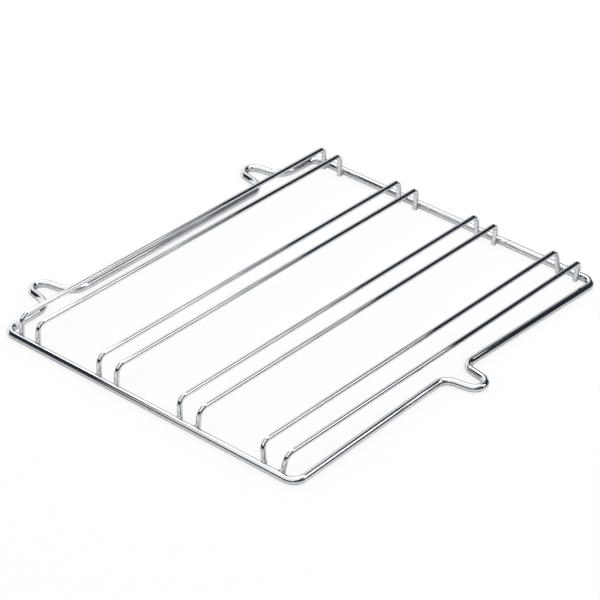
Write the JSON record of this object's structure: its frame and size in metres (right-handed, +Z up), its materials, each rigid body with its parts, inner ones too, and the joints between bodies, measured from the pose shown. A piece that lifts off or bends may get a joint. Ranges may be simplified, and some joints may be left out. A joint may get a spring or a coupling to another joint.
{
  "type": "oven side rack",
  "caption": "Chromed wire side rack for an oven: a bent frame wire with outward stud loops, and raised rails in pairs that guide shelf edges.",
  "frame": {"origin": "on the floor below the middle of the rack's outline, with the rack lying flat on its frame wire", "axes": "+X across the rails, away from the bar with two loops; +Y along the rails, from the front bar to the rear bar; +Z up, from the frame wire to the rails"},
  "size_m": [0.3314, 0.358, 0.0209],
  "materials": {
    "chrome_wire": "bright chrome plate on round steel wire"
  },
  "bodies": {
    "root": {"frame_wire": "chrome_wire", "rail_1": "chrome_wire", "rail_2": "chrome_wire", "rail_3": "chrome_wire", "rail_4": "chrome_wire", "rail_5": "chrome_wire", "rail_6": "chrome_wire", "rail_7": "chrome_wire", "rail_8": "chrome_wire"}
  },
  "joints": []
}
